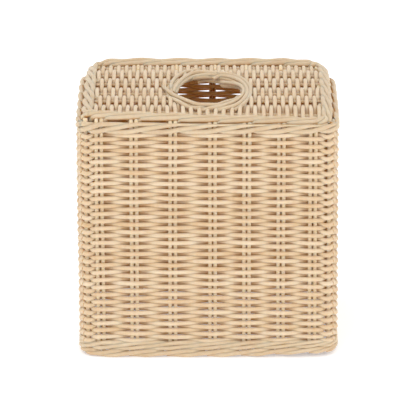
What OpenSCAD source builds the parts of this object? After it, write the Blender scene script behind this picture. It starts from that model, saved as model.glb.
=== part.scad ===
// Woven cane cover for a cube box of tissues: open foot, four randed walls on paired stakes,
// a waled shoulder, a woven top panel and an oval opening with a twisted rim.
// The origin is the centre of the foot, +Z is up and the front wall faces -Y.

/* [Overall] */
// Width over the wales, left to right
cover_w = 150; // [130:1:190]
// Depth over the wales, front to back
cover_d = 150; // [130:1:190]
// Height from the foot to the top of the ring round the top panel
cover_h = 143.5; // [110:0.5:190]

/* [Stakes] */
// Thickness of an upright stake
stake_d = 2.1; // [1.6:0.1:2.4]
// Distance between the middles of the two stakes of a pair
pair_spacing = 3; // [2.7:0.1:3.4]
// Thickness of a corner post
post_d = 2.4; // [2:0.1:3]
// Distance of a corner post's middle in from the stake lines of its two walls
post_inset = 2.2; // [1.9:0.1:2.6]
// Radius at which the stakes bend over the shoulder
bend_r = 4; // [3.5:0.5:4.5]

/* [Weave] */
// Thickness of the weaver of the walls
weaver_d = 2; // [1.6:0.1:2.1]
// Height of one row of the walls
row_pitch = 2.14; // [2.14:0.02:2.6]
// Thickness of the weaver of the top panel
top_weaver_d = 2; // [1.6:0.1:2.2]
// Distance between two weavers of the top panel
top_pitch = 2.27; // [2.25:0.01:2.7]
// Thickness of a stick of the top panel
stick_d = 2.1; // [1.6:0.1:2.4]
// Play between a strand and the stake that it rests on
seat = 0.15; // [0.1:0.05:0.25]
// How much further a weaver stands off where it bends behind a pair, so that it clears both stakes
bend_rise = 0.45; // [0.45:0.05:0.6]
// How much further it stands off where it lies flat over a pair
flat_rise = 0.1; // [0.1:0.05:0.2]

/* [Wales and border] */
// Thickness of a strand of the wales, of the ring and of the rolled border
wale_d = 2.2; // [2:0.1:2.3]
// How much further a wale strand stands off than its seat
wale_rise = 0.35; // [0.35:0.05:0.5]
// Height between the two strands of a wale that lie side by side outside the stakes
wale_lift = 3.4; // [3.4:0.1:3.8]
// Distance between the two strands of the ring that lie side by side on the stakes
ring_lift = 2.8; // [2.7:0.1:3]
// Height of the rolled border at the foot
border_h = 5.6; // [5.4:0.1:7]
// Depth of the flats that the border stands on
foot_flat = 0.4; // [0.3:0.1:0.6]
// Distance of the ring round the top panel in from the stake line
ring_inset = 4.3; // [4.3:0.1:6]
// Radius of the ring's corners
ring_r = 6; // [5:0.5:7]

/* [Opening] */
// Width of the opening inside its rim, left to right
opening_w = 39; // [30:1:60]
// Length of the opening inside its rim, front to back
opening_l = 72; // [50:1:84]
// Distance of the opening's middle in front of the panel's middle
opening_y = 10; // [0:1:10]
// Thickness of one of the rim's three strands
rim_strand_d = 2.4; // [2:0.1:2.5]
// Height of the rim's middle above the sticks of the top panel
rim_rise = 2; // [1:0.1:2.5]
// Turns of the twist in once round the rim
rim_turns = 7; // [5:1:9]

/* [Hidden] */
WALLS = ["front", "right", "back", "left"];
// Places of a wall's stake pairs, as shares of its half span; the back pairs stand opposite the front ones
pair_shares = [-0.864, -0.587, -0.277, 0.04, 0.313, 0.587, 0.84];
// Places of the top panel's sticks, as shares of the half depth of the panel
stick_shares = [-0.87, -0.5, -0.22, 0.15, 0.5, 0.86];
// Where a wale strand rises on its way to the next stake: from the first post, between, to the last post
rise_from_shares = [0.15, 0.25, 0.45];
rise_step_share = 0.4;
// Share of the way to the next stake over which a strand drops behind a stake
wale_drop_share = 0.15;
// Height at which it goes in behind that stake, from the middle of the wale to the upper strand
wale_in_share = 0.3;
// Place of the ring's upper strand at a corner, from the middle to the inner strand
ring_over_share = 0.4;
// Stretch of a border rod: where it comes out, shows low, shows high and goes in, in stake steps
border_step_shares = [-0.2, 0.35, 1.4, 1.75];
// How far before the first pair a strand that comes from behind the post is out, in strand thicknesses
come_out_share = 0.8;
// Turn of one facet round a post and of the ring's corner, and the angle of a corner's diagonal
wrap_angle = 30;
ring_angle = 45;
diagonal_angle = 45;

PAIRS = len(pair_shares);
CORNER = PAIRS + 1;
STICKS = len(stick_shares);
WALE_STRANDS = 3;
RIM_STRANDS = 3;

rod_fn = 48;
strand_sides = 5;
rim_sides = 5;
rim_rings = 56;

// Distance between the middles of a strand of thickness d and the bar that it lies on
function crest(d, bar) = (d + bar) / 2 + seat;

weaver_crest = crest(weaver_d, stake_d) + flat_rise;
weaver_dip = crest(weaver_d, stake_d) + bend_rise;
wale_crest = crest(wale_d, stake_d) + wale_rise;
ring_crest = crest(wale_d, stake_d);
top_crest = crest(top_weaver_d, stick_d);

// Half spans of the stake lines
stake_x = cover_w / 2 - wale_crest - wale_d / 2;
stake_y = cover_d / 2 - wale_crest - wale_d / 2;

// Heights, from the foot up
wale_half = wale_lift / 2;
wale_h = 2 * wale_half + wale_d;
top_z = cover_h - wale_d / 2 - ring_crest;
bend_z = top_z - bend_r;
foot_wale_z = border_h + wale_h / 2;
shoulder_wale_z = top_z - ring_crest - wale_d - wale_half * wale_in_share;
weave_z0 = border_h + wale_h + seat;
weave_z1 = shoulder_wale_z - wale_h / 2 - seat;
rows = floor((weave_z1 - weave_z0 - weaver_d) / row_pitch) + 1;
row_rise = (weave_z1 - weave_z0 - weaver_d) / (rows - 1);
border_low_z = wale_d / 2 - foot_flat;
border_high_z = border_h - wale_d / 2;
stake_foot_z = border_low_z + wale_d / 2 + seat;

// Half spans of the ring's middle line, and of the panel inside the ring
ring_x = stake_x - ring_inset;
ring_y = stake_y - ring_inset;
ring_half = (ring_lift + wale_d) / 2 + seat;
panel_x = ring_x - ring_half;
panel_y = ring_y - ring_half;

// The rim's rope, and the oval that the panel is cut to
rope_r = (rim_strand_d + 2 * seat) / sqrt(3);
rope_out = rope_r + rim_strand_d / 2;
rim_x = opening_w / 2 + rope_out;
rim_y = opening_l / 2 + rope_out;
rim_z = top_z + rim_rise;
cut_x = rim_x + rope_out + seat;
cut_y = rim_y + rope_out + seat;

// One wall or side of the ring: [half span along it, distance of its line from the centre, wall's number]
function wall_size(w) = w % 2 == 0 ? [stake_x, stake_y, w] : [stake_y, stake_x, w];
function ring_size(w) = w % 2 == 0 ? [ring_x, ring_y] : [ring_y, ring_x];

// Places along a wall: 0 and CORNER are its corner posts, and 1 to PAIRS are its pairs of stakes
BACK = 2;
function pair_share(s, w) = w == BACK ? -pair_shares[PAIRS - s] : pair_shares[s - 1];
function post_at(size) = size[0] - post_inset;
function station(s, size) =
    s <= 0 ? -post_at(size) :
    s >= CORNER ? post_at(size) :
    pair_share(s, size[2]) * size[0];
function along(s, size) =
    let(low = floor(s), share = s - low)
    station(low, size) * (1 - share) + station(low + 1, size) * share;
function flip(points) = [for (i = [len(points) - 1:-1:0]) [-points[i][0], points[i][1], points[i][2]]];

// Turn round the left corner from its diagonal to the wall: centre, inner radius, step, last turn
function turn(centre, apothem, step, last, z) =
    let(r = apothem / cos(step / 2))
    [
        [centre[0] - apothem * sin(diagonal_angle), centre[1] - apothem * cos(diagonal_angle), z],
        for (t = [diagonal_angle - step / 2:-step:last]) [centre[0] - r * sin(t), centre[1] - r * cos(t), z]
    ];
function wrap_outside(size, d, z) =
    turn([-post_at(size), post_inset - size[1]], crest(d, post_d), wrap_angle, -wrap_angle / 2, z);

// Path behind the left corner post from its diagonal, which comes out before the pair next to it
function wrap_inside(size, pair, d, out, z, z_out) =
    let(gap = crest(d, post_d) * sin(diagonal_angle), jog = d * 0.4)
    let(x = -post_at(size) + gap, y = post_inset - size[1] + gap)
    [
        [x, y, z],
        [x + jog, y - jog, z_out],
        [-abs(station(pair, size)) - pair_spacing / 2 - come_out_share * d, -size[1] - out, z_out]
    ];

// Outline of a strip of width d along the flat path p, mitred at its bends
function across(a, b) = [a[1] - b[1], b[0] - a[0]] / norm([b[0] - a[0], b[1] - a[1]]);
function mitre(p, i) =
    let(a = across(p[max(i - 1, 0)], p[max(i, 1)]))
    let(b = across(p[min(i, len(p) - 2)], p[min(i + 1, len(p) - 1)]))
    (a + b) / (1 + a * b);
function strip(p, d) = concat(
    [for (i = [0:len(p) - 1]) [p[i][0], p[i][1]] + mitre(p, i) * d / 2],
    [for (i = [len(p) - 1:-1:0]) [p[i][0], p[i][1]] - mitre(p, i) * d / 2]);

// A round strand along the middle line p
function unit(v) = v / norm(v);
function tangent(p, i, closed) =
    let(n = len(p))
    let(back = closed || i > 0 ? unit(p[i] - p[(i + n - 1) % n]) : [0, 0, 0])
    let(ahead = closed || i < n - 1 ? unit(p[(i + 1) % n] - p[i]) : [0, 0, 0])
    unit(back + ahead);
function section(p, i, d, sides, closed) =
    let(t = tangent(p, i, closed), a = unit(cross([0, 0, 1], t)), b = cross(t, a))
    [for (k = [0:sides - 1]) let(turn = 360 * k / sides) p[i] + (a * cos(turn) + b * sin(turn)) * d / 2];
module strand(p, d, sides, closed = false) {
    n = len(p);
    last = closed ? n - 1 : n - 2;
    corners = [for (i = [0:n - 1]) each section(p, i, d, sides, closed)];
    walls = [for (i = [0:last], k = [0:sides - 1])
        let(a = i * sides, b = ((i + 1) % n) * sides, next = (k + 1) % sides)
        each [[a + k, b + k, b + next], [a + k, b + next, a + next]]];
    ends = closed ? [] : [
        for (k = [1:sides - 2]) each [
            [0, k, k + 1],
            [(n - 1) * sides, (n - 1) * sides + k + 1, (n - 1) * sides + k]]];
    polyhedron(points = corners, faces = concat(walls, ends), convexity = 4);
}

// One row of a wall: side is 1 where it passes outside the corner posts and -1 where it passes inside
function row_path(size, side) = concat(
    row_end(size, side, 1),
    [for (i = [1:PAIRS])
        let(x = station(i, size), out = i % 2 == 0 ? side : -side)
        each
        let(flat = out > 0 || i == 1 || i == PAIRS)
        [for (k = flat ? [-1, 1] : [0])
            [x + k * pair_spacing / 2, -size[1] + (out > 0 ? -weaver_crest : weaver_dip), 0]]],
    flip(row_end(size, side, PAIRS)));
function row_end(size, side, pair) =
    side > 0 ? wrap_outside(size, weaver_d, 0) : wrap_inside(size, pair, weaver_d, weaver_crest, 0, 0);
module weave(w) {
    color("wheat")
        rotate(90 * w)
            for (row = [0:rows - 1])
                translate([0, 0, weave_z0 + row * row_rise])
                    linear_extrude(height = weaver_d)
                        polygon(strip(row_path(wall_size(w), row % 2 == 0 ? 1 : -1), weaver_d));
}

// A stake goes from the foot up, over the shoulder and in to the panel
module stake() {
    translate([0, 0, stake_foot_z])
        cylinder(h = bend_z - stake_foot_z, d = stake_d, $fn = rod_fn);
    translate([0, bend_r, bend_z])
        rotate([90, 0, -90])
            rotate_extrude(angle = 90, $fn = rod_fn)
                translate([bend_r, 0])
                    circle(d = stake_d, $fn = rod_fn);
    translate([0, bend_r, top_z])
        rotate([-90, 0, 0])
            cylinder(h = ring_inset + ring_half - seat - bend_r, d = stake_d, $fn = rod_fn);
}
module stakes(w, i) {
    size = wall_size(w);
    color("burlywood")
        rotate(90 * w)
            for (side = [-1, 1])
                translate([station(i, size) + side * pair_spacing / 2, -size[1], 0])
                    stake();
}
module corner_posts() {
    color("burlywood")
        for (x = [-1, 1], y = [-1, 1])
            translate([x * post_at([stake_x, stake_y]), y * post_at([stake_y, stake_x]), stake_foot_z])
                cylinder(h = top_z - stake_foot_z, d = post_d, $fn = rod_fn);
}

// A three-strand wale: each strand passes outside two stakes, rising, then drops behind the third
function rise_from(s) =
    s == 1 ? rise_from_shares[0] : s == CORNER ? rise_from_shares[2] : rise_from_shares[1];
function wale_stops(first) = [
    for (s = [0:CORNER])
        let(turn = (s + first) % WALE_STRANDS)
        each turn == 0 ? [[s, 1, -1]]
            : turn == 1 && s == 0 ? [[s, 1, 1]]
            : turn == 1 ? [
                [s - 1 + rise_from(s), 1, -1],
                [s - 1 + rise_from(s) + rise_step_share, 1, 1],
                [s, 1, 1]]
            : s == 0 || s == CORNER ? [[s, -1, 0]]
            : [[s - wale_drop_share, -1, wale_in_share], [s + wale_drop_share, -1, -1]]];
function wale_corner(size, stop, z) =
    stop[1] > 0
        ? wrap_outside(size, wale_d, z + stop[2] * wale_half)
        : wrap_inside(size, stop[0] == 0 ? 1 : PAIRS, wale_d, wale_crest, z,
            z + (stop[0] == 0 ? -1 : 1) * wale_half);
function wale_path(size, first, z) = [
    for (stop = wale_stops(first)) each
        stop[0] == 0 ? wale_corner(size, stop, z)
        : stop[0] == CORNER ? flip(wale_corner(size, stop, z))
        : [[along(stop[0], size), -size[1] - stop[1] * wale_crest, z + stop[2] * wale_half]]];
module wale(w, z) {
    color("navajowhite")
        rotate(90 * w)
            for (first = [0:WALE_STRANDS - 1])
                strand(wale_path(wall_size(w), first, z), wale_d, strand_sides);
}

// The ring is such a wale laid flat: its strands pass over and under the ends of the stakes.
// It turns the corner between two walls half way from one stake to the next.
function ring_stops(first) =
    let(start = (1 + first) % WALE_STRANDS, end = (PAIRS + first) % WALE_STRANDS)
    concat(
        [start == 1 ? [0, 1, ring_over_share] : start == 2 ? [0, 0, 1] : [0, 0, -1]],
        [for (stop = wale_stops(first))
            if (stop[0] > 1 - wale_drop_share * 2 && stop[0] < PAIRS + 0.5) stop],
        [end == 0 ? [CORNER, 1, ring_over_share] : end == 1 ? [CORNER, 0, 1] : [CORNER, 0, -1]]);
function ring_point(w, stop) =
    let(wall = wall_size(w), line = ring_size(w))
    let(z = top_z + stop[1] * ring_crest, in = stop[2] * ring_lift / 2)
    let(place = max(1, min(PAIRS, stop[0])), reach = line[0] - ring_r - stake_d / 2)
    stop[0] == 0 ? turn([ring_r - line[0], ring_r - line[1]], ring_r - in, ring_angle, 0, z) :
    stop[0] == CORNER ? flip(turn([ring_r - line[0], ring_r - line[1]], ring_r - in, ring_angle, 0, z)) :
    [[max(-reach, min(reach, along(place, wall))) + (stop[0] - place) * 2 * pair_spacing, in - line[1], z]];
function ring_path(w, first) = [for (stop = ring_stops(first)) each ring_point(w, stop)];
module ring(w) {
    color("navajowhite")
        rotate(90 * w)
            for (first = [0:WALE_STRANDS - 1])
                strand(ring_path(w, first), wale_d, strand_sides);
}

// The rolled border: each pair's end comes out low, rises past the next pair and goes in behind
function border_stop(size, s, side, z) =
    s <= 0 && side == 0 ? [[station(0, size), -size[1] - side, z]] :
    s >= CORNER ? flip(wrap_outside(size, wale_d, z)) :
    [[along(s, size), -size[1] - side * wale_crest, z]];
function border_path(size, k) =
    let(rise = (border_high_z - border_low_z) / (border_step_shares[2] - border_step_shares[1]))
    k < 0 ? concat(
        wrap_outside(size, wale_d, border_low_z + rise * (1 - border_step_shares[1])),
        border_stop(size, k + border_step_shares[2], 1, border_high_z),
        border_stop(size, k + border_step_shares[3], 0, border_high_z))
    : k == PAIRS ? concat(
        border_stop(size, k + border_step_shares[0], 0, border_low_z),
        border_stop(size, k + border_step_shares[1], 1, border_low_z),
        border_stop(size, CORNER, 1, border_low_z + rise * (1 - border_step_shares[1])))
    : concat(
        border_stop(size, max(k + border_step_shares[0], 0), 0, border_low_z),
        border_stop(size, k + border_step_shares[1], 1, border_low_z),
        border_stop(size, k + border_step_shares[2], 1, border_high_z),
        border_stop(size, k + border_step_shares[3], 0, border_high_z));
module border(w) {
    size = wall_size(w);
    color("tan")
        rotate(90 * w)
            for (k = [-1:PAIRS])
                intersection() {
                    strand(border_path(size, k), wale_d, strand_sides);
                    translate([-cover_w, -cover_d, 0])
                        cube([2 * cover_w, 2 * cover_d, cover_h]);
                }
}

// The top panel: sticks from side to side, and weavers from front to back over and under them
function oval(r, across_r, at) = r * sqrt(max(0, 1 - pow(at / across_r, 2)));
module top_stick(i) {
    y = stick_shares[i - 1] * panel_y;
    gap = oval(cut_x, cut_y, max(0, abs(y + opening_y) - stick_d / 2));
    color("burlywood")
        for (side = gap > 0 ? [-1, 1] : [0])
            translate([side == 0 ? -panel_x : side * gap, y, top_z])
                rotate([0, side < 0 ? -90 : 90, 0])
                    cylinder(h = side == 0 ? 2 * panel_x : panel_x - gap, d = stick_d, $fn = rod_fn);
}
function top_path(low, high, side) =
    let(inner = [for (i = [0:STICKS - 1])
        let(y = stick_shares[i] * panel_y)
        if (y > low + top_weaver_d && y < high - top_weaver_d) [y, (i % 2 == 0 ? side : -side) * top_crest]])
    concat([[low, 0]], inner, [[high, 0]]);
module top_weaver(x, low, high, side) {
    translate([x - top_weaver_d / 2, 0, top_z])
        rotate([90, 0, 90])
            linear_extrude(height = top_weaver_d)
                polygon(strip(top_path(low, high, side), top_weaver_d));
}
module top_weave(zone) {
    count = floor((panel_x - top_weaver_d / 2) / top_pitch);
    color("wheat")
        for (i = [-count:count]) {
            x = i * top_pitch;
            gap = oval(cut_y, cut_x, max(0, abs(x) - top_weaver_d / 2));
            side = i % 2 == 0 ? 1 : -1;
            if (gap == 0 && sign(x) == zone)
                top_weaver(x, -panel_y, panel_y, side);
            if (gap > 0 && zone == 0) {
                top_weaver(x, -panel_y, -opening_y - gap, side);
                top_weaver(x, gap - opening_y, panel_y, side);
            }
        }
}

// The rim: a rope of three strands laid round the oval
function rim_point(share, first) =
    let(a = 360 * share, lay = 360 * (share * rim_turns + first / RIM_STRANDS))
    let(out = unit([cos(a) / rim_x, sin(a) / rim_y, 0]))
    [rim_x * cos(a), rim_y * sin(a) - opening_y, rim_z] + out * rope_r * cos(lay) + [0, 0, rope_r * sin(lay)];
module opening_rim() {
    color("navajowhite")
        for (first = [0:RIM_STRANDS - 1])
            strand([for (i = [0:rim_rings - 1]) rim_point(i / rim_rings, first)],
                rim_strand_d, rim_sides, true);
}

for (w = [0:3]) {
    weave(w);
    border(w);
    wale(w, foot_wale_z);
    wale(w, shoulder_wale_z);
    ring(w);
    for (i = [1:PAIRS])
        stakes(w, i);
}
for (i = [1:STICKS])
    top_stick(i);
corner_posts();
top_weave(-1);  // top_weave_left
top_weave(0);  // top_weave_middle
top_weave(1);  // top_weave_right
opening_rim();
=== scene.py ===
import math
import bpy
import numpy as np
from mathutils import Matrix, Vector


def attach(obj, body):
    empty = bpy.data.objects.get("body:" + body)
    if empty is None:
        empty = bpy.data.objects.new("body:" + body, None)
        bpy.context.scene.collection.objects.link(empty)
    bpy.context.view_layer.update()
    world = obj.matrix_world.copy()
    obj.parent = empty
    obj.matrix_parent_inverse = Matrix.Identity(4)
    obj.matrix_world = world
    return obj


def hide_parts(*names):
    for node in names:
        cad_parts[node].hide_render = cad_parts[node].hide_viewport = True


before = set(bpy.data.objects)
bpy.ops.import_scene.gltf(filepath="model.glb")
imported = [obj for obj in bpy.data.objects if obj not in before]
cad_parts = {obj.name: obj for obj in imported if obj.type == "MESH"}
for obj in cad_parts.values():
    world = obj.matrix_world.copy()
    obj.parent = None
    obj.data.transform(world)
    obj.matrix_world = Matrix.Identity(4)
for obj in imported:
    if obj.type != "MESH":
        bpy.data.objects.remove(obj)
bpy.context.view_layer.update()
print("frame loaded")

# everything below is in millimetres until a mesh is made
cover = dict(
    half=71.25,          # stake line of each wall, from the middle
    cornerR=7.0,         # radius of the stake line at the corner posts
    pairShares=[-0.864, -0.587, -0.277, 0.04, 0.313, 0.587, 0.84],
    pairHalf=1.5,        # half the distance between the two stakes of a pair
    backCloser=0.44,     # each stake of a back pair stands this much nearer the pair's middle
    topZ=140.1,          # level of the sticks and of the stakes' upper ends
    seed=7,
)
walls = ["front", "right", "back", "left"]
backWall = walls.index("back")
perWall = len(cover["pairShares"]) + 1       # places along a wall: one corner post and the pairs
straight = cover["half"] - cover["cornerR"]
wallLength = 2 * straight + cover["cornerR"] * math.pi / 2
loopLength = 4 * wallLength
frontX = [s * cover["half"] for s in cover["pairShares"]]
backX = [-x for x in reversed(frontX)]       # the back pairs stand opposite the front ones
pairX = [frontX, frontX, backX, frontX]
# places of posts and pairs along the walls, and once more along the first for what runs past its start
stationL = []
for w in range(5):
    stationL.append(w * wallLength)
    stationL += [w * wallLength + (wallLength / 2 + x) for x in pairX[w % 4]]
dice = np.random.default_rng(cover["seed"])


# places on the rounded square of the walls, pushed out by offset
def wallPoints(lengths, offset):
    lengths = np.asarray(lengths, float)
    wall = np.floor(lengths / wallLength + 1e-9)
    t = lengths - wall * wallLength - wallLength / 2
    side = np.sign(t)
    phi = np.maximum(np.abs(t) - straight, 0) / cover["cornerR"]
    onLine = np.where(phi > 0, side * (straight + cover["cornerR"] * np.sin(phi)), t)
    x = onLine + offset * side * np.sin(phi)
    y = -cover["half"] + cover["cornerR"] * (1 - np.cos(phi)) - offset * np.cos(phi)
    turn = wall * math.pi / 2
    return x * np.cos(turn) - y * np.sin(turn), x * np.sin(turn) + y * np.cos(turn)


# points of the front wall, turned to another wall
def turned(points, wall):
    c, s = math.cos(wall * math.pi / 2), math.sin(wall * math.pi / 2)
    points = np.asarray(points, float)
    x, y, z = points[:, 0], points[:, 1], points[:, 2]
    return np.stack([x * c - y * s, x * s + y * c, z], 1)


# slow unevenness between -1 and 1: three waves that don't fall together
def wander(x, wave, phase):
    x = np.asarray(x, float) * 2 * math.pi / wave
    return (np.sin(x + phase) + 0.6 * np.sin(1.73 * x + 2.1 * phase)
            + 0.4 * np.sin(2.9 * x + 3.7 * phase)) / 2


# values ys at the places xs, joined by soft curves
def eased(x, xs, ys):
    x, xs, ys = np.asarray(x, float), np.asarray(xs, float), np.asarray(ys, float)
    i = np.clip(np.searchsorted(xs, x) - 1, 0, len(xs) - 2)
    u = np.clip((x - xs[i]) / np.maximum(xs[i + 1] - xs[i], 1e-6), 0, 1)
    return ys[i] + (ys[i + 1] - ys[i]) * (1 - np.cos(math.pi * u)) / 2


# smooth curve through a few points
def curveThrough(points, steps):
    p = np.asarray(points, float)
    out = []
    for i in range(len(p) - 1):
        b, c = p[i], p[i + 1]
        a = p[i - 1] if i > 0 else 2 * b - c
        d = p[i + 2] if i + 2 < len(p) else 2 * c - b
        for k in range(steps):
            t = k / steps
            out.append(0.5 * (2 * b + (c - a) * t + (2 * a - 5 * b + 4 * c - d) * t * t
                              + (3 * b - a - 3 * c + d) * t ** 3))
    out.append(p[-1])
    return np.array(out)


# 0 below low and 1 above high, with a soft change between
def smooth(x, low, high):
    u = np.clip((np.asarray(x, float) - low) / (high - low), 0, 1)
    return u * u * (3 - 2 * u)


# how the hand-made cover departs from a true box
# a pair of numbers says where a change starts and where it is complete
bend = dict(
    frontX=[-66, -33, 0, 41, 66],
    frontSag=[0.2, 0.95, 2.4, 3.0, 4.0],     # the front edge of the top hangs lower to the right
    frontEdge=(40, 66), frontZ=(136.5, 140),
    backLeft=6.5, backRight=7.5, backSag=0.6, backEdge=(20, 66), backZ=(110, 140),
    cornerAt=72, cornerX=(1.04, 10), cornerY=(1.05, 2.5),     # most and power of the back corners' drop
    footRise=1.9, footRight=(5, 72),
    footCorner=0.8, footLeft=(58, 74),
    footZ=(0, 14), footFront=(30, 70),
    footIn=1.1, leftZ=(0, 110), leftSide=(30, 72),            # the left wall leans in at the foot
)


# lowers the top's edges, lifts the foot's front corners and leans the left wall
def settle(points):
    x, y, z = points[:, 0], points[:, 1], points[:, 2]
    mostX, powerX = bend["cornerX"]
    mostY, powerY = bend["cornerY"]
    corner = (np.clip(np.abs(x) / bend["cornerAt"], 0, mostX) ** powerX
              * np.clip(y / bend["cornerAt"], 0, mostY) ** powerY)
    back = (corner * np.where(x < 0, bend["backLeft"], bend["backRight"])
            + bend["backSag"] * smooth(y, *bend["backEdge"]))
    z = z - back * smooth(z, *bend["backZ"])
    sag = np.interp(x, bend["frontX"], bend["frontSag"])
    z = z - smooth(-y, *bend["frontEdge"]) * smooth(z, *bend["frontZ"]) * sag
    low = 1 - smooth(z, *bend["footZ"])
    lift = (bend["footRise"] * smooth(x, *bend["footRight"])
            + bend["footCorner"] * smooth(-x, *bend["footLeft"]))
    z = z + low * smooth(-y, *bend["footFront"]) * lift
    x = x + bend["footIn"] * (1 - smooth(z, *bend["leftZ"])) * smooth(-x, *bend["leftSide"])
    return np.stack([x, y, z], 1)


inside = dict(
    panelZ=138.2,         # height at which the top panel starts
    turn=(0.1, 0.8),      # how far a surface turns inwards before it counts, and counts in full
)


# from 0 to 1: how much a surface faces the inside of the cover, which sets its painted shade
def inwardness(points, facing):
    x, y, z = points[:, 0], points[:, 1], points[:, 2]
    out = np.zeros_like(points)
    top = z > inside["panelZ"]
    wide = np.abs(x) > np.abs(y)
    out[top, 2] = 1
    out[~top & wide, 0] = np.sign(x[~top & wide])
    out[~top & ~wide, 1] = np.sign(y[~top & ~wide])
    return smooth(-(out * facing).sum(1), *inside["turn"])


strand = dict(
    sides=10,
    endStep=0.25, endShare=0.78,       # a cut end runs on by this share of the radius, at this share of it
    endShade=0.15, endInner=0.35,      # the cut face is darker
    leadMost=400, uvLength=100, capUv=0.02,
)


# a bundle collects round strands and becomes one mesh
def newBundle():
    return dict(verts=[], faces=[], uvs=[], shade=[], inner=[], facing=[], count=0)


def addStrand(bundle, points, radius, ref=(0, 0, 1), shade=0.5, inner=0.0, closed=False, cut=True):
    sides = strand["sides"]
    p = np.asarray(points, float)
    n = len(p)
    radius = np.broadcast_to(np.asarray(radius, float), (n,)).copy()
    inner = np.broadcast_to(np.asarray(inner, float), (n,))
    shade = np.broadcast_to(np.asarray(shade, float), (n,))
    if closed:
        t = np.roll(p, -1, 0) - np.roll(p, 1, 0)
    else:
        t = np.gradient(p, axis=0)
        if cut:       # softened blunt ends
            step = radius[0] * strand["endStep"]
            first = p[0] - t[0] / np.linalg.norm(t[0]) * step
            last = p[-1] + t[-1] / np.linalg.norm(t[-1]) * step
            p = np.vstack([first, p, last])
            t = np.vstack([t[:1], t, t[-1:]])
            ends = radius[[0, -1]] * strand["endShare"]
            radius = np.concatenate([ends[:1], radius, ends[1:]])
            inner = np.concatenate([inner[:1], inner, inner[-1:]])
            shade = np.concatenate([shade[:1], shade, shade[-1:]])
            n += 2
    t /= np.linalg.norm(t, axis=1)[:, None]
    a = np.cross(np.broadcast_to(np.asarray(ref, float), t.shape), t)
    a /= np.linalg.norm(a, axis=1)[:, None]
    b = np.cross(t, a)
    ang = np.arange(sides) * 2 * math.pi / sides
    ring = a[:, None, :] * np.cos(ang)[None, :, None] + b[:, None, :] * np.sin(ang)[None, :, None]
    verts = p[:, None, :] + ring * radius[:, None, None]
    start = bundle["count"]
    along = np.concatenate([[0], np.cumsum(np.linalg.norm(np.diff(p, axis=0), axis=1))])
    lead = dice.uniform(0, strand["leadMost"])       # every strand has its own stretch of cane
    rows = n if closed else n - 1
    i = np.repeat(np.arange(rows), sides)
    k = np.tile(np.arange(sides), rows)
    j, m = (i + 1) % n, (k + 1) % sides
    faces = np.stack([i * sides + k, i * sides + m, j * sides + m, j * sides + k], 1) + start
    joined = along[-1] + np.linalg.norm(p[0] - p[-1])
    u0, u1 = along[i] + lead, np.where(j == 0, joined, along[j]) + lead
    v0, v1 = k / sides, (k + 1) / sides
    bundle["uvs"].append(np.stack([u0, v0, u0, v1, u1, v1, u1, v0], 1).reshape(-1, 2) / strand["uvLength"])
    bundle["verts"].append(verts.reshape(-1, 3))
    bundle["faces"] += faces.tolist()
    bundle["shade"].append(np.repeat(shade, sides))
    bundle["inner"].append(np.repeat(inner, sides))
    bundle["facing"].append(ring.reshape(-1, 3))
    bundle["count"] += n * sides
    if not closed:
        for row, order in ((0, -1), (n - 1, 1)):
            base = bundle["count"]
            corners = range(sides) if order > 0 else range(sides - 1, -1, -1)
            bundle["verts"].append(verts[row])
            bundle["facing"].append(np.tile(t[row] * order, (sides, 1)))
            bundle["shade"].append(np.full(sides, shade[row] - strand["endShade"]))
            bundle["inner"].append(np.full(sides, min(1, inner[row] + strand["endInner"])))
            bundle["faces"].append([base + q for q in corners])
            bundle["uvs"].append(np.stack([np.full(sides, lead / strand["uvLength"]),
                                           np.cos(ang) * strand["capUv"]], 1))
            bundle["count"] += sides


# insideShade says how much painted shade a surface that faces the inside gets
def finishBundle(bundle, name, material, nodes, insideShade=1.0):
    mesh = bpy.data.meshes.new(name)
    verts = np.vstack(bundle["verts"])
    inward = inwardness(verts, np.vstack(bundle["facing"]))
    mesh.from_pydata((settle(verts) / 1000).tolist(), [], bundle["faces"])
    layer = mesh.uv_layers.new(name="strand")
    layer.data.foreach_set("uv", np.vstack(bundle["uvs"]).ravel())
    # painted shade: the strands' own inner marks, and the surfaces that face the inside of the cover
    inner = np.maximum(np.concatenate(bundle["inner"]), inward * insideShade)
    for key, values in (("shade", np.concatenate(bundle["shade"])), ("inner", inner)):
        mark = mesh.attributes.new(key, "FLOAT", "POINT")
        mark.data.foreach_set("value", np.clip(values, 0, 1))
    mesh.polygons.foreach_set("use_smooth", [True] * len(mesh.polygons))
    mesh.materials.append(material)
    piece = bpy.data.objects.new(name, mesh)
    bpy.context.collection.objects.link(piece)
    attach(piece, "root")
    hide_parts(*nodes)
    print(name, len(bundle["faces"]), "faces")


# finish of the cane
fibreLook = dict(
    stretch=(9, 7, 1), scale=3.2, detail=5, roughness=0.65, gain=1.0,
    slowStretch=(4, 0.3, 1), slowScale=1.6, slowDetail=3, slowGain=1.5, slowShift=-0.75,
    level=(0.45, 1.55),          # sum of the parts at which a strand is at its middle and its light colour
    rough=(0.62, 0.46),
)
mixFirst, mixSecond, mixResult = 6, 7, 2       # the Mix node's sockets for colours
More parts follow.
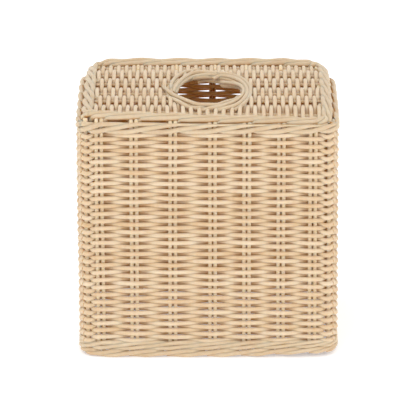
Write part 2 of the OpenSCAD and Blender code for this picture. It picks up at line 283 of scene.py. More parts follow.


# fibres and slow colour changes of peeled cane, along the strand, and the painted shade colour mixed in by
# the inner mark
def caneGroup():
    tree = bpy.data.node_groups.new("caneFibresAndShade", "ShaderNodeTree")
    face = tree.interface
    face.new_socket("Light", in_out="INPUT", socket_type="NodeSocketColor")
    face.new_socket("Mid", in_out="INPUT", socket_type="NodeSocketColor")
    face.new_socket("Deep", in_out="INPUT", socket_type="NodeSocketColor")
    face.new_socket("Colour", in_out="OUTPUT", socket_type="NodeSocketColor")
    face.new_socket("Height", in_out="OUTPUT", socket_type="NodeSocketFloat")
    face.new_socket("Roughness", in_out="OUTPUT", socket_type="NodeSocketFloat")
    n, link = tree.nodes, tree.links
    given, result = n.new("NodeGroupInput"), n.new("NodeGroupOutput")
    uv, place = n.new("ShaderNodeUVMap"), n.new("ShaderNodeMapping")
    uv.uv_map = "strand"
    place.inputs["Scale"].default_value = fibreLook["stretch"]
    link.new(uv.outputs["UV"], place.inputs["Vector"])
    fibre = n.new("ShaderNodeTexNoise")
    fibre.inputs["Scale"].default_value = fibreLook["scale"]
    fibre.inputs["Detail"].default_value = fibreLook["detail"]
    fibre.inputs["Roughness"].default_value = fibreLook["roughness"]
    link.new(place.outputs["Vector"], fibre.inputs["Vector"])
    slowPlace, slow = n.new("ShaderNodeMapping"), n.new("ShaderNodeTexNoise")
    slowPlace.inputs["Scale"].default_value = fibreLook["slowStretch"]
    slow.inputs["Scale"].default_value = fibreLook["slowScale"]
    slow.inputs["Detail"].default_value = fibreLook["slowDetail"]
    link.new(uv.outputs["UV"], slowPlace.inputs["Vector"])
    link.new(slowPlace.outputs["Vector"], slow.inputs["Vector"])
    shade, inner = n.new("ShaderNodeAttribute"), n.new("ShaderNodeAttribute")
    shade.attribute_name, inner.attribute_name = "shade", "inner"
    # lightness: the strand's own shade, slow changes along it and its fibres
    slowPart = n.new("ShaderNodeMath")
    slowPart.operation = "MULTIPLY_ADD"
    slowPart.inputs[1].default_value = fibreLook["slowGain"]
    slowPart.inputs[2].default_value = fibreLook["slowShift"]
    link.new(slow.outputs["Fac"], slowPart.inputs[0])
    fibrePart = n.new("ShaderNodeMath")
    fibrePart.operation = "MULTIPLY_ADD"
    fibrePart.inputs[1].default_value = fibreLook["gain"]
    link.new(fibre.outputs["Fac"], fibrePart.inputs[0])
    link.new(slowPart.outputs[0], fibrePart.inputs[2])
    total = n.new("ShaderNodeMath")
    total.operation = "ADD"
    link.new(fibrePart.outputs[0], total.inputs[0])
    link.new(shade.outputs["Fac"], total.inputs[1])
    level = n.new("ShaderNodeMapRange")
    level.inputs["From Min"].default_value, level.inputs["From Max"].default_value = fibreLook["level"]
    link.new(total.outputs[0], level.inputs["Value"])
    base = n.new("ShaderNodeMix")
    base.data_type = "RGBA"
    link.new(level.outputs["Result"], base.inputs["Factor"])
    link.new(given.outputs["Mid"], base.inputs[mixFirst])
    link.new(given.outputs["Light"], base.inputs[mixSecond])
    # painted shade: the parts of a strand that lie behind others or face the inside are mixed towards the
    # shade colour
    paintedShadeMix = n.new("ShaderNodeMix")
    paintedShadeMix.data_type = "RGBA"
    link.new(inner.outputs["Fac"], paintedShadeMix.inputs["Factor"])
    link.new(base.outputs[mixResult], paintedShadeMix.inputs[mixFirst])
    link.new(given.outputs["Deep"], paintedShadeMix.inputs[mixSecond])
    link.new(paintedShadeMix.outputs[mixResult], result.inputs["Colour"])
    link.new(fibre.outputs["Fac"], result.inputs["Height"])
    rough = n.new("ShaderNodeMapRange")
    rough.inputs["To Min"].default_value, rough.inputs["To Max"].default_value = fibreLook["rough"]
    link.new(fibre.outputs["Fac"], rough.inputs["Value"])
    link.new(rough.outputs["Result"], result.inputs["Roughness"])
    return tree


fibres = caneGroup()
caneLook = dict(
    bump=0.35, bumpDepth=0.0003, shine=0.25,
    soft=0.7, softReach=(1.0, 0.75, 0.5), softScale=0.003,
)
# each cane's third colour is its painted shade colour, for crevices and the inside of the cover
canes = dict(
    weaver=dict(light=(0.665, 0.515, 0.345), mid=(0.54, 0.35, 0.18), shadeColour=(0.475, 0.205, 0.045)),
    stake=dict(light=(0.80, 0.61, 0.385), mid=(0.68, 0.47, 0.255), shadeColour=(0.475, 0.205, 0.045)),
    wale=dict(light=(0.59, 0.455, 0.295), mid=(0.465, 0.305, 0.16), shadeColour=(0.47, 0.21, 0.05)),
)


def caneMaterial(name, light, mid, shadeColour):
    material = bpy.data.materials.new(name)
    material.use_nodes = True
    n, link = material.node_tree.nodes, material.node_tree.links
    shader = n["Principled BSDF"]
    group, bump = n.new("ShaderNodeGroup"), n.new("ShaderNodeBump")
    group.node_tree = fibres
    group.inputs["Light"].default_value = (*light, 1)
    group.inputs["Mid"].default_value = (*mid, 1)
    group.inputs["Deep"].default_value = (*shadeColour, 1)
    bump.inputs["Strength"].default_value = caneLook["bump"]
    bump.inputs["Distance"].default_value = caneLook["bumpDepth"]
    link.new(group.outputs["Colour"], shader.inputs["Base Color"])
    link.new(group.outputs["Roughness"], shader.inputs["Roughness"])
    link.new(group.outputs["Height"], bump.inputs["Height"])
    link.new(bump.outputs["Normal"], shader.inputs["Normal"])
    shader.inputs["Specular IOR Level"].default_value = caneLook["shine"]
    shader.inputs["Subsurface Weight"].default_value = caneLook["soft"]
    shader.inputs["Subsurface Radius"].default_value = caneLook["softReach"]
    shader.inputs["Subsurface Scale"].default_value = caneLook["softScale"]
    return material


weaverCane = caneMaterial("weaverCane", **canes["weaver"])
stakeCane = caneMaterial("stakeCane", **canes["stake"])
waleCane = caneMaterial("waleCane", **canes["wale"])
print("cane finishes made")

# woven walls
rowPlan = dict(
    rows=57, firstZ=8.58, rise=2.174, radius=1.23,
    stakeR=1.04, postR=1.25, postFlat=0.4,
    perSpan=11,                            # points between one place and the next
    easedShare=0.35, straightShare=0.65,   # how far a stroke swings or runs straight between the stakes
    full=2.2,                              # offset at which a stroke counts as fully outside
    footLift=0.9, footZ=(8, 26),           # rows lie closer at the foot
    uneven=0.16, shade=0.5, shadeMost=0.28, inner=0.7,
    frontTilt=0.22, backTilt=-0.45, tiltZ=(108, 116),
    backUp=1.5, backZ=(20, 100), margin=8,
)
# unevenness of the rows: waves round the cover, phase from row to row and size
rowWaves = dict(low=(6, 0.31, 1), high=(15, -0.45, 0.7), radius=(9, 2.3, 0.03), out=(21, 1.7, 0.08),
                shade=(4, 1.3, 0.12))
# at a corner post the outside strokes are fuller and climb away from the front
cornerStroke = dict(climb=0.9, moreClimb=1.1, climbZ=(20, 120), half=3.5, fade=1.6, share=0.1,
                    fuller=0.16, fullerHalf=4.0)
rowShade = dice.uniform(-rowPlan["shadeMost"], rowPlan["shadeMost"], rowPlan["rows"])


def rowWave(key, lengths, k):
    turns, phase, size = rowWaves[key]
    return size * np.sin(lengths * 2 * math.pi * turns / loopLength + phase * k)


# one row of a wall, from the middle of one corner to the middle of the next
def weaveRow(k, wall):
    first, last = wall * perWall, (wall + 1) * perWall
    xs, ys = [], []
    for s in range(first, last + 1):
        atPost = s % perWall == 0
        flat = rowPlan["postFlat"] if atPost else cover["pairHalf"]
        reach = (rowPlan["postR"] if atPost else rowPlan["stakeR"]) + rowPlan["radius"]
        out = reach if (s + k) % 2 == 0 else -reach
        xs += [stationL[s] - flat, stationL[s] + flat]
        ys += [out, out]
    spans = [np.linspace(stationL[s], stationL[s + 1], rowPlan["perSpan"], endpoint=False)
             for s in range(first, last)]
    lengths = np.concatenate(spans + [[stationL[last]]])
    offset = (rowPlan["easedShare"] * eased(lengths, xs, ys)
              + rowPlan["straightShare"] * np.interp(lengths, xs, ys))
    z = rowPlan["firstZ"] + k * rowPlan["rise"]
    z = z + rowPlan["footLift"] * (1 - smooth(z, *rowPlan["footZ"]))
    z = z + rowPlan["uneven"] * (rowWave("low", lengths, k) + rowWave("high", lengths, k))
    # outside strokes ride a little high in front and low at the back
    tilt = [rowPlan["frontTilt"], 0.0, rowPlan["backTilt"] * (1 - smooth(z, *rowPlan["tiltZ"])), 0.0][wall]
    inWall = np.minimum(smooth(lengths, stationL[first], stationL[first] + rowPlan["margin"]),
                        smooth(-lengths, -stationL[last], -stationL[last] + rowPlan["margin"]))
    lifted = rowPlan["backUp"] * smooth(z, *rowPlan["backZ"]) * (wall == backWall)
    z = z + (tilt * offset / rowPlan["full"] + lifted) * inWall
    climb = cornerStroke["climb"] + cornerStroke["moreClimb"] * smooth(z, *cornerStroke["climbZ"])
    radius = rowPlan["radius"] * (1 + rowWave("radius", lengths, k))
    for s in (first, last):
        near = lengths - stationL[s]
        beyond = np.maximum(np.abs(near) - cornerStroke["half"], 0)
        swing = np.clip(near / cornerStroke["half"], -1, 1) * np.exp(-(beyond / cornerStroke["fade"]) ** 2)
        way = 1 if s % (2 * perWall) == 0 else -1
        z = z - climb * way * swing * np.clip(offset / rowPlan["full"] + cornerStroke["share"], 0, 1)
        swell = np.exp(-(near / cornerStroke["fullerHalf"]) ** 2) * np.clip(offset / rowPlan["full"], 0, 1)
        radius = radius * (1 + cornerStroke["fuller"] * swell)
    x, y = wallPoints(lengths, offset + rowWave("out", lengths, k))
    # painted shade where the row passes behind the stakes
    depth = np.clip(-offset / rowPlan["full"], 0, 1)
    shade = rowPlan["shade"] + rowShade[k] + rowWave("shade", lengths, k)
    return np.stack([x, y, z], 1), radius, shade, depth


for w, wallName in enumerate(walls):
    bundle = newBundle()
    for k in range(rowPlan["rows"]):
        points, radius, shade, depth = weaveRow(k, w)
        addStrand(bundle, points, radius, shade=shade, inner=depth * rowPlan["inner"], cut=False)
    finishBundle(bundle, wallName + "Weave", weaverCane, [wallName + "_weave"])

# the top panel's measures, which the back wall's longer stakes also need
panelPlan = dict(
    edge=64.3, stickShares=[-0.87, -0.5, -0.22, 0.15, 0.5, 0.825],
    stickR=1.05, stickPoints=14, stickShade=0.45, stickInner=0.12, stickSway=0.2, stickWave=60,
    pitch=2.27, radius=1.21, count=28,          # weavers, and how many lie on each side of the middle one
    tuck=66.8, backTuck=61.0,                   # how far sticks and weavers reach under the ring
    backDrop=1.3, dropY=(38, 53),               # the back edge lies lower than the middle
    cutX=22.4, cutY=38.8, centreY=-10.0, cutMargin=1,
    step=1.3, endMargin=2, sway=0.2, swayWave=70, lean=0.05, spread=(0.96, 1.03),
    shade=(0.45, 0.85), dip=2.1, inner=0.7,
)
backPairHalf = cover["pairHalf"] - cover["backCloser"]

# stakes, bent over the shoulder and in to the top panel
stakePlan = dict(
    radius=1.13, footZ=2.2, bendR=4.0, reach=7.6, backDrop=0.4,
    uprightPoints=24, bendPoints=9, reachPoints=4, lean=0.15, leanLength=30,
    spread=(0.95, 1.03), shade=(0.45, 0.9),
    # one stake of each middle back pair runs on over the edge of the top panel
    longReach=24, longPoints=22, longAt=[8, 11, 18.2, 26], longUp=[0, -0.8, -0.2, 1.0, 0], longTurn=(4, 12),
    longDarker=0.5,
)
for w, wallName in enumerate(walls):
    bundle = newBundle()
    for i, x in enumerate(pairX[w]):
        for side in (-1, 1):
            crossing = w == backWall and side == -1 and 0 < i < len(pairX[w]) - 1
            half = backPairHalf if w == backWall else cover["pairHalf"]
            r = stakePlan["bendR"]
            lean = dice.uniform(-stakePlan["lean"], stakePlan["lean"])
            upright = np.linspace(stakePlan["footZ"], cover["topZ"] - r, stakePlan["uprightPoints"])
            line = [(x + side * half + lean * math.sin(z / stakePlan["leanLength"]), -cover["half"], z)
                    for z in upright]
            endX = line[-1][0]
            line += [(endX, -cover["half"] + r - r * math.cos(t), cover["topZ"] - r + r * math.sin(t))
                     for t in np.linspace(0, math.pi / 2, stakePlan["bendPoints"])[1:]]
            if crossing:
                q = np.linspace(r, stakePlan["longReach"], stakePlan["longPoints"])[1:]
                column = round(endX / panelPlan["pitch"]) * panelPlan["pitch"]
                heights = eased(q, [r] + stakePlan["longAt"], stakePlan["longUp"])
                line += [(endX + (column - endX) * smooth(a, *stakePlan["longTurn"]), -cover["half"] + a,
                          cover["topZ"] + h) for a, h in zip(q, heights)]
            else:
                drop = stakePlan["backDrop"] if w == backWall else 0
                line += [(endX, -cover["half"] + q, cover["topZ"] - drop * (q - r))
                         for q in np.linspace(r, stakePlan["reach"], stakePlan["reachPoints"])[1:]]
            radius = stakePlan["radius"] * dice.uniform(*stakePlan["spread"])
            shade = dice.uniform(*stakePlan["shade"]) - stakePlan["longDarker"] * crossing
            addStrand(bundle, turned(line, w), radius, ref=turned([(1, 0, 0)], w)[0], shade=shade)
    nodes = ["%s_stakes_%d" % (wallName, i) for i in range(1, perWall)]
    finishBundle(bundle, wallName + "Stakes", stakeCane, nodes)

# corner posts
postPlan = dict(radius=1.3, lowZ=2.2, highZ=139.5, points=20, shade=(0.4, 0.7))
bundle = newBundle()
for w in range(4):
    x, y = wallPoints([w * wallLength], 0)
    line = [(x[0], y[0], z) for z in np.linspace(postPlan["lowZ"], postPlan["highZ"], postPlan["points"])]
    addStrand(bundle, line, postPlan["radius"], ref=(1, 0, 0), shade=dice.uniform(*postPlan["shade"]))
finishBundle(bundle, "cornerPosts", stakeCane, ["corner_posts"])

# wales: three strands that each pass outside two places and inside the third
waleShape = dict(
    postReach=0.25, postFlat=0.5, step=1.5, blur=9, tuckAt=(2, 12),
    uneven=0.15, unevenWave=90, swell=0.03, swellWave=60,
    shade=0.55, shadeMost=0.2, shadeWave=120, innerFrom=0.2, inner=0.7,
)


# one strand, once round all four walls: length along the walls, offset out of them and height
def waleStrand(first, plan):
    lengths, offsets, levels = [], [], []
    for s in range(4 * perWall + 1):
        atPost = s % perWall == 0
        reach = plan["reach"] + (waleShape["postReach"] if atPost else 0)
        wide = waleShape["postFlat"] if atPost else cover["pairHalf"]
        quick = plan["quick"]
        # place along the wall, share of the reach and share of the lift
        strokes = [
            [(-wide, 1, -1), (wide, 1, -0.65)],
            [(-wide, 1, 0.65), (wide, 1, 1)],
            [(-wide - quick, 0.6, 0.8), (-wide, -1, 0.3), (wide, -1, -0.4), (wide + quick, 0.6, -1)],
        ]
        for d, out, level in strokes[(s + first) % 3]:
            lengths.append(stationL[s] + d)
            offsets.append(out * reach)
            levels.append(level * plan["lift"] / 2)
    return np.array(lengths), np.array(offsets), np.array(levels)


# heights change evenly from stop to stop, with soft corners
def waleLevel(x, xs, levels):
    raw = np.interp(x, xs, levels)
    kernel = np.hanning(waleShape["blur"])
    kernel /= kernel.sum()
    pad = waleShape["blur"] // 2
    padded = np.concatenate([np.full(pad, raw[0]), raw, np.full(pad, raw[-1])])
    return np.convolve(padded, kernel, mode="valid")


# draws an offset in where the strand passes a corner
def tucked(offset, x, tuck):
    corner = np.abs((x + wallLength / 2) % wallLength - wallLength / 2)
    return offset * (1 - tuck * (1 - smooth(corner, *waleShape["tuckAt"])))


def makeWale(name, plan, nodes):
    bundle = newBundle()
    for first in range(3):
        xs, offsets, levels = waleStrand(first, plan)
        x = np.arange(xs[0], xs[-1], waleShape["step"])
        offset = tucked(eased(x, xs, offsets), x, plan["tuck"])
        uneven = waleShape["uneven"] * wander(x, waleShape["unevenWave"], first + plan["z"])
        z = plan["z"] + waleLevel(x, xs, levels) + uneven
        px, py = wallPoints(x, offset)
        change = waleShape["shadeMost"] * wander(x, waleShape["shadeWave"], 3 * first + plan["z"])
        shade = waleShape["shade"] + change
        radius = plan["radius"] * (1 + waleShape["swell"] * wander(x, waleShape["swellWave"], first))
        # painted shade where the strand passes inside the stakes
        addStrand(bundle, np.stack([px, py, z], 1), radius, shade=shade,
                  inner=np.clip(-offset / plan["reach"] + waleShape["innerFrom"], 0, 1) * waleShape["inner"])
    finishBundle(bundle, name, waleCane, nodes)


footPlan = dict(z=6.9, lift=3.5, reach=2.35, radius=1.24, quick=4.0, tuck=0.35)
shoulderPlan = dict(z=135.1, lift=4.8, reach=2.4, radius=1.42, quick=4.0, tuck=0.0)
makeWale("footWale", footPlan, [w + "_foot_wale" for w in walls])
makeWale("shoulderWale", shoulderPlan, [w + "_shoulder_wale" for w in walls])

# ring laid on the bent stakes, with one value for each wall where the sides differ
ringPlan = dict(
    half=[67.9, 67.9, 65.0, 67.9],
    lean=[0.38, 0.3, -0.34, 0.3],        # drop of the ring for each millimetre outwards; the back one rises
    level=[2.3, 2.2, 1.0, 2.2],
    lift=3.8, cornerR=7.0, reach=2.2, radius=1.42, quick=3.5, cornerChange=(0.42, 0.58),
    uneven=0.12, unevenWave=80, shade=0.6, shadeMost=0.2, shadeWave=110, shadePhase=5, inner=0.7,
)


# a value that differs from side to side, softened at the corners
def ringShare(lengths, key):
    at = np.asarray(lengths, float) / wallLength - 0.5
    low = np.floor(at)
    u = smooth(at - low, *ringPlan["cornerChange"])
    values = np.array(ringPlan[key])
    return values[low.astype(int) % 4] * (1 - u) + values[(low.astype(int) + 1) % 4] * u


# the walls' places carried in to the ring: same share of the way along each side
def ringPoints(lengths, inward):
    lengths = np.asarray(lengths, float)
    half = ringShare(lengths, "half")
    straightR = half - ringPlan["cornerR"]
    wall = np.floor(lengths / wallLength + 1e-9)
    t = lengths - wall * wallLength - wallLength / 2
    side = np.sign(t)
    beyond = np.maximum(np.abs(t) - straightR, 0)
    phi = beyond / (wallLength / 2 - straightR) * math.pi / 4
    r = ringPlan["cornerR"] - inward
    x = np.where(phi > 0, side * (straightR + r * np.sin(phi)), t)
    y = -half + ringPlan["cornerR"] - r * np.cos(phi)
    turn = wall * math.pi / 2
    return x * np.cos(turn) - y * np.sin(turn), x * np.sin(turn) + y * np.cos(turn)


bundle = newBundle()
for first in range(3):
    xs, offsets, levels = waleStrand(first, dict(reach=ringPlan["reach"], lift=1, quick=ringPlan["quick"]))
    x = np.arange(xs[0], xs[-1], waleShape["step"])
    up = eased(x, xs, offsets)
    inward = waleLevel(x, xs, levels) * ringPlan["lift"]
    px, py = ringPoints(x, inward)
    z = (cover["topZ"] + up + ringShare(x, "level") - ringPlan["reach"]
         - ringShare(x, "lean") * (ringPlan["lift"] / 2 - inward)
         + ringPlan["uneven"] * wander(x, ringPlan["unevenWave"], first))
    change = ringPlan["shadeMost"] * wander(x, ringPlan["shadeWave"], first + ringPlan["shadePhase"])
    shade = ringPlan["shade"] + change
    # painted shade where the strand dips under the stakes
    addStrand(bundle, np.stack([px, py, z], 1), ringPlan["radius"], shade=shade,
              inner=np.clip(-up / ringPlan["reach"], 0, 1) * ringPlan["inner"])
finishBundle(bundle, "topRing", waleCane, [w + "_ring" for w in walls])

# rolled border at the foot: each end comes out low, rises past the next pair and goes in
borderPlan = dict(
    lowZ=1.25, highZ=3.8, radius=1.3, reach=2.5, tuck=0.7, start=0.2, step=1.4,
    outAt=(-0.15, 0.35), inAt=(0.4, 0.8),       # shares of the way to the next pair, before and after it
    uneven=0.12, unevenWave=50, shade=(0.3, 0.7), innerReach=1.6, inner=0.4,
)
bundle = newBundle()
for s in range(4 * perWall):
    here, following, after = stationL[s], stationL[s + 1], stationL[s + 2]
    xs = ([here + (following - here) * f for f in borderPlan["outAt"]]
          + [following + (after - following) * f for f in borderPlan["inAt"]])
    x = np.arange(xs[0], xs[-1], borderPlan["step"])
    start, reach = borderPlan["start"], borderPlan["reach"]
    offset = tucked(eased(x, xs, [start, reach, reach, start]), x, borderPlan["tuck"])
    low, high = borderPlan["lowZ"], borderPlan["highZ"]
    z = waleLevel(x, xs, [low, low, high, high])
    px, py = wallPoints(x, offset)
    z = np.maximum(z + borderPlan["uneven"] * wander(x, borderPlan["unevenWave"], s), borderPlan["radius"])
    # painted shade where the border lies close in to the stakes
    inner = np.clip(1 - offset / borderPlan["innerReach"], 0, 1) * borderPlan["inner"]
    shade = dice.uniform(*borderPlan["shade"])
    addStrand(bundle, np.stack([px, py, z], 1), borderPlan["radius"], shade=shade, inner=inner)
finishBundle(bundle, "footBorder", waleCane, [w + "_border" for w in walls])

# top panel: sticks from side to side, and weavers from front to back
stickY = [s * panelPlan["edge"] for s in panelPlan["stickShares"]]


def backDrop(y):
    return panelPlan["backDrop"] * smooth(y, *panelPlan["dropY"])


# half the opening's width at a distance from its middle, and 0 past its end
def ovalGap(at, half, across):
    at = max(0, at - panelPlan["cutMargin"])
    return half * math.sqrt(max(0, 1 - (at / across) ** 2))


bundle = newBundle()
for i, y in enumerate(stickY):
    gap = ovalGap(abs(y - panelPlan["centreY"]), panelPlan["cutX"], panelPlan["cutY"])
    reach, points = panelPlan["tuck"], panelPlan["stickPoints"]
    spans = [(-reach, reach)] if gap == 0 else [(-reach, -gap), (gap, reach)]
    for a, b in spans:
        x = np.linspace(a, b, points)
        sway = panelPlan["stickSway"] * wander(x, panelPlan["stickWave"], i)
        line = np.stack([x, np.full(points, y) + sway, np.full(points, cover["topZ"] - backDrop(y))], 1)
        # painted shade: the sticks, which lie under the weavers, are mixed a little towards the shade colour
        addStrand(bundle, line, panelPlan["stickR"],
                  shade=panelPlan["stickShade"], inner=panelPlan["stickInner"])
nodes = ["top_stick_%d" % (i + 1) for i in range(len(stickY))]
finishBundle(bundle, "topSticks", stakeCane, nodes)


def topWeaver(bundle, x, low, high, side):
    rise = panelPlan["radius"] + panelPlan["stickR"]
    stops = [(low, 0)] + [(y, side * (1 if i % 2 == 0 else -1) * rise) for i, y in enumerate(stickY)
                          if low + panelPlan["endMargin"] < y < high - panelPlan["endMargin"]] + [(high, 0)]
    ys = np.arange(low, high, panelPlan["step"])
    z = eased(ys, [s[0] for s in stops], [s[1] for s in stops])
    sway = panelPlan["sway"] * wander(ys, panelPlan["swayWave"], x)
    if high < 0:        # strands in front of the opening lean out towards its rim
        sway = sway + panelPlan["lean"] * x * smooth(ys, low, high)
    line = np.stack([x + sway, ys, cover["topZ"] + z - backDrop(ys)], 1)
    radius = panelPlan["radius"] * dice.uniform(*panelPlan["spread"])
    # painted shade where the weaver dips under a stick
    addStrand(bundle, line, radius, shade=dice.uniform(*panelPlan["shade"]),
              inner=np.clip(-z / panelPlan["dip"], 0, 1) * panelPlan["inner"])


crossedColumns = [round((backPairHalf - x) / panelPlan["pitch"]) for x in pairX[backWall][1:-1]]
zones = dict(left=newBundle(), middle=newBundle(), right=newBundle())
for i in range(-panelPlan["count"], panelPlan["count"] + 1):
    x = i * panelPlan["pitch"]
    side = 1 if i % 2 == 0 else -1
    gap = ovalGap(abs(x), panelPlan["cutY"], panelPlan["cutX"])
    # a weaver whose column a back stake takes over stops short of it
    high = cover["half"] - stakePlan["longReach"] - 1 if i in crossedColumns else panelPlan["backTuck"]
    if gap == 0:
        topWeaver(zones["left" if x < 0 else "right"], x, -panelPlan["tuck"], high, side)
    else:
        topWeaver(zones["middle"], x, -panelPlan["tuck"], panelPlan["centreY"] - gap, side)
        topWeaver(zones["middle"], x, panelPlan["centreY"] + gap, high, side)
for zone, bundle in zones.items():
    finishBundle(bundle, "topWeave" + zone.capitalize(), weaverCane, ["top_weave_" + zone])

# the camera, in metres and degrees; the rim's marks are turned into places with its two angles
view = dict(elevation=14.75, distance=3.043, target=(0.0003, 0.0, 0.0688), angle=4.562,
            sensor=36, farthest=50)

# rim of the opening: strands laid round the oval, each given by a few of its places
rimPlan = dict(
    x=21.0, y=36.6, z=140.8, radius=1.17, steps=6, spread=(0.95, 1.05),
    shade=0.62, shadeAlong=0.2, shadeWave=45, shadeMost=0.1,
    innerZ=140.6, innerDepth=6, innerMost=0.5, insideShade=0.2,
    hoopsOut=(0, 2.3), hoopPoints=72, hoopShade=0.5, hoopInner=0.2,       # two hoops under the strands
)
# how the marks below were read, in pixels and millimetres
rimView = dict(
    cropX=158, cropY=64, zoom=15.08,                # corner of a crop of the picture, and its enlargement
    middle=208,                                     # half the picture's width and height
    targetX=0.3, targetZ=68.8, distance=3050,       # where the camera looked then, and from how far
)
# each mark is a place in the enlarged crop, across and down, and a height in mm, all chosen
rimMarks = dict(
    near=[(75, 335, 140.5), (130, 395, 142.2), (220, 460, 142.9), (330, 512, 143), (450, 562, 142.9),
          (560, 602, 142.8), (640, 618, 142.7), (760, 617, 142.7), (880, 620, 142.6), (960, 600, 142.4),
          (1060, 567, 142.0), (1150, 545, 141.4), (1210, 505, 140.4)],
    second=[(140, 505, 140.8), (230, 535, 142.0), (320, 575, 142.0), (400, 625, 141.6), (470, 660, 141.3),
            (560, 670, 141.2), (660, 663, 141.2), (740, 650, 141.0), (810, 640, 140.4)],
    third=[(640, 708, 140.4), (720, 690, 141.3), (800, 667, 141.8), (880, 655, 142.0), (960, 640, 142.2),
           (1040, 612, 142.4), (1110, 588, 142.5), (1190, 545, 142.6), (1255, 490, 142.7),
           (1290, 430, 142.7), (1285, 375, 142.6), (1240, 325, 142.2), (1160, 300, 141.6),
           (1080, 290, 141.0), (1000, 282, 140.3), (955, 276, 139.7)],
    fourth=[(860, 708, 140.3), (950, 690, 141.2), (1050, 662, 141.8), (1150, 632, 142.3),
            (1240, 580, 142.7), (1305, 515, 143.0), (1340, 440, 143.1), (1330, 360, 143.1),
            (1290, 295, 143.1), (1220, 245, 143.0), (1130, 208, 142.8), (1040, 190, 142.5),
            (950, 185, 142.1), (885, 203, 141.5), (840, 228, 140.8)],
    outer=[(1150, 700, 140.5), (1240, 645, 141.4), (1330, 560, 142.0), (1385, 460, 142.4),
           (1388, 370, 142.7), (1350, 300, 142.9), (1285, 240, 143.0), (1200, 195, 143.0),
           (1100, 165, 143.0), (1000, 150, 143.0), (900, 140, 143.0), (800, 132, 143.0),
           (700, 126, 143.0), (600, 128, 143.0), (500, 150, 142.9), (420, 190, 142.7), (345, 250, 142.4),
           (290, 315, 142.0), (255, 380, 141.4), (238, 430, 140.5)],
    fan=[(620, 96, 142.6), (540, 98, 142.8), (450, 112, 142.8), (370, 142, 142.6), (300, 182, 142.4),
         (245, 235, 142.1), (208, 300, 141.7), (196, 370, 141.0), (205, 430, 140.1)],
    inner=[(900, 165, 142.2), (820, 168, 142.2), (720, 168, 142.0), (620, 178, 141.8), (530, 200, 141.5),
           (450, 238, 141.2), (375, 283, 140.9), (318, 335, 140.8), (285, 395, 140.6), (262, 440, 140.0)],
    back=[(395, 268, 139.4), (500, 228, 139.8), (600, 203, 140.0), (700, 195, 140.0), (780, 203, 139.8),
          (832, 220, 139.3)],
    hang=[(600, 268, 138.0), (680, 252, 138.3), (760, 252, 138.5), (860, 265, 138.5), (960, 277, 138.5),
          (1080, 297, 138.8), (1200, 315, 139.4), (1280, 345, 140.0)],
    blunt=[(965, 318, 138.0), (1000, 334, 138.1), (1100, 340, 138.3), (1200, 350, 138.8),
           (1265, 385, 139.6), (1270, 430, 140.2)],
)


# the place of a mark to a tenth of a millimetre, raised by what the front edge will sag there
def rimPlace(across, down, height):
    e = math.radians(view["elevation"])
    c, s = math.cos(e), math.sin(e)
    focal = rimView["middle"] / math.tan(math.radians(view["angle"] / 2))
    right = rimView["cropX"] + across / rimView["zoom"] - rimView["middle"]
    up = (rimView["middle"] - (rimView["cropY"] + down / rimView["zoom"])) / focal
    rise = height - rimView["targetZ"]
    y = (up * (rimView["distance"] - rise * s) - rise * c) / (s - up * c)
    depth = rimView["distance"] + y * c - rise * s
    x = right * depth / focal + rimView["targetX"]
    sag = smooth(-y, *bend["frontEdge"]) * np.interp(x, bend["frontX"], bend["frontSag"])
    return round(float(x), 1), round(float(y), 1), round(float(height + sag), 1)


bundle = newBundle()
for name, marks in rimMarks.items():
    line = curveThrough([rimPlace(*mark) for mark in marks], rimPlan["steps"])
    along = rimPlan["shadeAlong"] * wander(np.arange(len(line)), rimPlan["shadeWave"], len(name))
    shade = rimPlan["shade"] + along + dice.uniform(-rimPlan["shadeMost"], rimPlan["shadeMost"])
    # painted shade, more the lower a strand hangs below the rim
    inner = np.clip((rimPlan["innerZ"] - line[:, 2]) / rimPlan["innerDepth"], 0, rimPlan["innerMost"])
    addStrand(bundle, line, rimPlan["radius"] * dice.uniform(*rimPlan["spread"]), shade=shade, inner=inner)
for out in rimPlan["hoopsOut"]:
    a = np.linspace(0, 2 * math.pi, rimPlan["hoopPoints"], endpoint=False)
    y = panelPlan["centreY"] + (rimPlan["y"] + out) * np.sin(a)
    line = np.stack([(rimPlan["x"] + out) * np.cos(a), y, np.full(rimPlan["hoopPoints"], rimPlan["z"])], 1)
    # painted shade: the hoops under the strands are mixed a little towards the shade colour
    addStrand(bundle, line, rimPlan["radius"], closed=True,
              shade=rimPlan["hoopShade"], inner=rimPlan["hoopInner"])
finishBundle(bundle, "openingRim", waleCane, ["opening_rim"], insideShade=rimPlan["insideShade"])

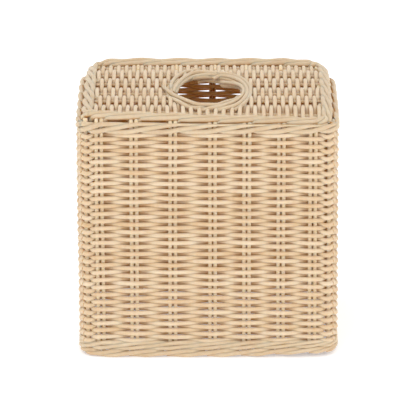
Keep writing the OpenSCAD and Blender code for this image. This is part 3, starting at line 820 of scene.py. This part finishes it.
# floor, in metres like the lights and the camera
floorPlan = dict(
    size=12, z=-0.0002, colour=(0.975, 0.985, 1, 1), roughness=0.9,
    glow=(1, 1, 1, 1), glowStrength=0.27,
)
bpy.ops.object.select_all(action="DESELECT")
bpy.ops.mesh.primitive_plane_add(size=floorPlan["size"], location=(0, 0, floorPlan["z"]))
floor = bpy.context.object
floor.name = "floor"
paper = bpy.data.materials.new("paper")
paper.use_nodes = True
paperShader = paper.node_tree.nodes["Principled BSDF"]
paperShader.inputs["Base Color"].default_value = floorPlan["colour"]
paperShader.inputs["Roughness"].default_value = floorPlan["roughness"]
paperShader.inputs["Emission Color"].default_value = floorPlan["glow"]
paperShader.inputs["Emission Strength"].default_value = floorPlan["glowStrength"]
floor.data.materials.append(paper)
print("floor laid")

lights = dict(
    key=dict(place=(-1.1, -2.2, 1.5), size=1.8, power=17),
    fill=dict(place=(1.6, -1.8, 0.9), size=2.0, power=11),
)
studio = dict(aim=(0, 0, 0.07), world=(1, 1, 1, 1), worldStrength=1.0, gamma=1.28)
for name, light in lights.items():
    bpy.ops.object.light_add(type="AREA", location=light["place"])
    lamp = bpy.context.object
    lamp.name = name + "Light"
    lamp.data.size = light["size"]
    lamp.data.energy = light["power"]
    lamp.rotation_euler = (Vector(studio["aim"]) - Vector(light["place"])).to_track_quat("-Z", "Y").to_euler()
bpy.context.scene.view_settings.view_transform = "Standard"
bpy.context.scene.view_settings.gamma = studio["gamma"]
world = bpy.data.worlds.new("studio") if not bpy.data.worlds else bpy.data.worlds[0]
bpy.context.scene.world = world
world.use_nodes = True
world.node_tree.nodes["Background"].inputs["Color"].default_value = studio["world"]
world.node_tree.nodes["Background"].inputs["Strength"].default_value = studio["worldStrength"]

e = math.radians(view["elevation"])
standpoint = Vector(view["target"]) + Vector((0, -math.cos(e), math.sin(e))) * view["distance"]
bpy.ops.object.camera_add(location=standpoint, rotation=(math.pi / 2 - e, 0, 0))
camera = bpy.context.object
camera.data.sensor_width = view["sensor"]
camera.data.sensor_height = view["sensor"]
camera.data.angle = math.radians(view["angle"])
camera.data.clip_end = view["farthest"]
bpy.context.scene.camera = camera
print("camera and lights set")
